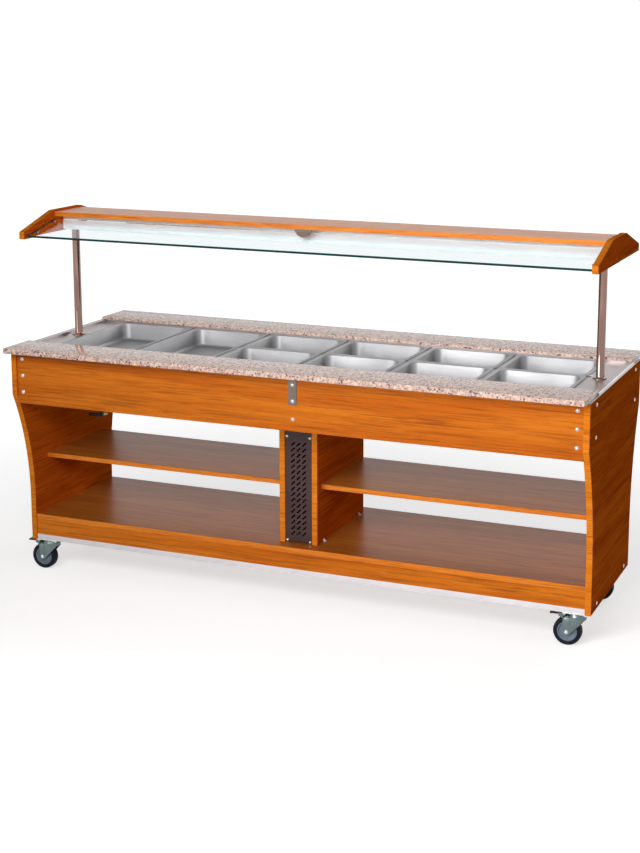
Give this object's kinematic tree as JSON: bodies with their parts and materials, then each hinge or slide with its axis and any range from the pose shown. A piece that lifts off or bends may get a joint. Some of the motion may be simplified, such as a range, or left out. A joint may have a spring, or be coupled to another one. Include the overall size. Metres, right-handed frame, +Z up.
{
  "type": "heated buffet cart",
  "caption": "Wood-panelled serving cart with a heated pan well between stone tray slides, lower shelves, a lamp canopy with sloping glass, and braked swivel casters.",
  "frame": {"origin": "centre of the bounding box at the floor", "axes": "+X along the length to the customers' right, +Y from the customers' side to the operator's side, +Z up"},
  "size_m": [2.25, 0.88, 1.388],
  "materials": {
    "wood": "satin laminate, straight grain",
    "hardwood_blocks": "plain",
    "plinth_white": "pale satin",
    "stone": "polished, speckled",
    "stainless": "satin",
    "mirror_tube": "mirror polished",
    "housing_white": "white gloss",
    "cover_dark": "dark matt",
    "fittings_white": "matt",
    "element_metal": "dull",
    "mineral_wool": "fibrous",
    "lamp_quartz": "clear quartz",
    "ceramic": "white",
    "clear_glass": "clear, green edge",
    "black_plastic": "satin black",
    "brass": "dull",
    "bright_steel": "polished",
    "zinc": "zinc plated",
    "hub_grey": "satin grey",
    "tyre": "matt black"
  },
  "bodies": {
    "cabinet": {"side_panels": "wood", "front_apron": "wood", "rear_apron": "wood", "apron_joint_strap": "stainless", "deck_board": "wood", "deck_fascias": "wood", "plinth_strips": "plinth_white", "caster_blocks": "hardwood_blocks", "column_boards": "wood", "column_covers": "cover_dark", "upper_shelves": "wood", "shelf_fittings": "fittings_white", "well_top_plate": "stainless", "well_tub": "stainless", "pan_cross_bars": "stainless", "heating_elements": "element_metal", "tub_insulation": "mineral_wool", "bottom_cover": "stainless", "granite_slabs": "stone", "canopy_posts": "mirror_tube", "hood_ends": "wood", "hood_top_board": "wood", "lamp_housing": "housing_white", "heat_lamps": "lamp_quartz", "lamp_holders": "ceramic", "glass_panes": "clear_glass", "glass_clips": "stainless", "control_panel": "stainless", "cable_gland": "black_plastic", "drain_valve": "brass", "assembly_screws": "bright_steel", "caster_plates": "zinc"},
    "swivel_front_left": {"fork_front_left": "zinc"},
    "wheel_front_left": {"hub_front_left": "hub_grey", "tyre_front_left": "tyre"},
    "brake_front_left": {"pedal_front_left": "black_plastic"},
    "swivel_front_right": {"fork_front_right": "zinc"},
    "wheel_front_right": {"hub_front_right": "hub_grey", "tyre_front_right": "tyre"},
    "brake_front_right": {"pedal_front_right": "black_plastic"},
    "swivel_rear_left": {"fork_rear_left": "zinc"},
    "wheel_rear_left": {"hub_rear_left": "hub_grey", "tyre_rear_left": "tyre"},
    "swivel_rear_right": {"fork_rear_right": "zinc"},
    "wheel_rear_right": {"hub_rear_right": "hub_grey", "tyre_rear_right": "tyre"},
    "pan_1": {"pan_1": "stainless"},
    "pan_2": {"pan_2": "stainless"},
    "pan_3_front": {"pan_3_front": "stainless"},
    "pan_3_rear": {"pan_3_rear": "stainless"},
    "pan_4_front": {"pan_4_front": "stainless"},
    "pan_4_rear": {"pan_4_rear": "stainless"},
    "pan_5_front": {"pan_5_front": "stainless"},
    "pan_5_rear": {"pan_5_rear": "stainless"},
    "pan_6_front": {"pan_6_front": "stainless"},
    "pan_6_rear": {"pan_6_rear": "stainless"},
    "knob": {"thermostat_knob": "black_plastic"},
    "power_switch": {"power_rocker": "black_plastic"},
    "lamp_switch": {"lamp_rocker": "black_plastic"},
    "drain_handle": {"drain_lever": "black_plastic"}
  },
  "joints": [
    {"name": "swivel_front_left", "type": "hinge", "parent": "cabinet", "child": "swivel_front_left", "pos_m": [-1.032, -0.237, 0.112], "axis": [0, 0, 1], "continuous": true},
    {"name": "wheel_front_left", "type": "hinge", "parent": "swivel_front_left", "child": "wheel_front_left", "pos_m": [-1.064, -0.237, 0.05], "axis": [0, 1, 0], "continuous": true},
    {"name": "brake_front_left", "type": "hinge", "parent": "swivel_front_left", "child": "brake_front_left", "pos_m": [-1.084, -0.237, 0.11], "axis": [0, -1, 0], "range_deg": [0, 14]},
    {"name": "swivel_front_right", "type": "hinge", "parent": "cabinet", "child": "swivel_front_right", "pos_m": [1.064, -0.237, 0.112], "axis": [0, 0, 1], "continuous": true},
    {"name": "wheel_front_right", "type": "hinge", "parent": "swivel_front_right", "child": "wheel_front_right", "pos_m": [1.032, -0.237, 0.05], "axis": [0, 1, 0], "continuous": true},
    {"name": "brake_front_right", "type": "hinge", "parent": "swivel_front_right", "child": "brake_front_right", "pos_m": [1.012, -0.237, 0.11], "axis": [0, -1, 0], "range_deg": [0, 14]},
    {"name": "swivel_rear_left", "type": "hinge", "parent": "cabinet", "child": "swivel_rear_left", "pos_m": [-1.032, 0.237, 0.112], "axis": [0, 0, 1], "continuous": true},
    {"name": "wheel_rear_left", "type": "hinge", "parent": "swivel_rear_left", "child": "wheel_rear_left", "pos_m": [-1.064, 0.237, 0.05], "axis": [0, 1, 0], "continuous": true},
    {"name": "swivel_rear_right", "type": "hinge", "parent": "cabinet", "child": "swivel_rear_right", "pos_m": [1.064, 0.237, 0.112], "axis": [0, 0, 1], "continuous": true},
    {"name": "wheel_rear_right", "type": "hinge", "parent": "swivel_rear_right", "child": "wheel_rear_right", "pos_m": [1.032, 0.237, 0.05], "axis": [0, 1, 0], "continuous": true},
    {"name": "lift_pan_1", "type": "slide", "parent": "cabinet", "child": "pan_1", "axis": [0, 0, 1], "range_m": [0, 0.2]},
    {"name": "lift_pan_2", "type": "slide", "parent": "cabinet", "child": "pan_2", "axis": [0, 0, 1], "range_m": [0, 0.2]},
    {"name": "lift_pan_3_front", "type": "slide", "parent": "cabinet", "child": "pan_3_front", "axis": [0, 0, 1], "range_m": [0, 0.2]},
    {"name": "lift_pan_3_rear", "type": "slide", "parent": "cabinet", "child": "pan_3_rear", "axis": [0, 0, 1], "range_m": [0, 0.2]},
    {"name": "lift_pan_4_front", "type": "slide", "parent": "cabinet", "child": "pan_4_front", "axis": [0, 0, 1], "range_m": [0, 0.2]},
    {"name": "lift_pan_4_rear", "type": "slide", "parent": "cabinet", "child": "pan_4_rear", "axis": [0, 0, 1], "range_m": [0, 0.2]},
    {"name": "lift_pan_5_front", "type": "slide", "parent": "cabinet", "child": "pan_5_front", "axis": [0, 0, 1], "range_m": [0, 0.2]},
    {"name": "lift_pan_5_rear", "type": "slide", "parent": "cabinet", "child": "pan_5_rear", "axis": [0, 0, 1], "range_m": [0, 0.2]},
    {"name": "lift_pan_6_front", "type": "slide", "parent": "cabinet", "child": "pan_6_front", "axis": [0, 0, 1], "range_m": [0, 0.2]},
    {"name": "lift_pan_6_rear", "type": "slide", "parent": "cabinet", "child": "pan_6_rear", "axis": [0, 0, 1], "range_m": [0, 0.2]},
    {"name": "thermostat_turn", "type": "hinge", "parent": "cabinet", "child": "knob", "pos_m": [0.666, 0.375, 0.79], "axis": [0, 1, 0], "range_deg": [0, 270]},
    {"name": "power_switch", "type": "hinge", "parent": "cabinet", "child": "power_switch", "pos_m": [0.756, 0.375, 0.79], "axis": [1, 0, 0], "range_deg": [0, 16]},
    {"name": "lamp_switch", "type": "hinge", "parent": "cabinet", "child": "lamp_switch", "pos_m": [0.806, 0.375, 0.79], "axis": [1, 0, 0], "range_deg": [0, 16]},
    {"name": "drain_open", "type": "hinge", "parent": "cabinet", "child": "drain_handle", "pos_m": [-0.924, -0.026, 0.6], "axis": [0, -1, 0], "range_deg": [0, 90]}
  ]
}
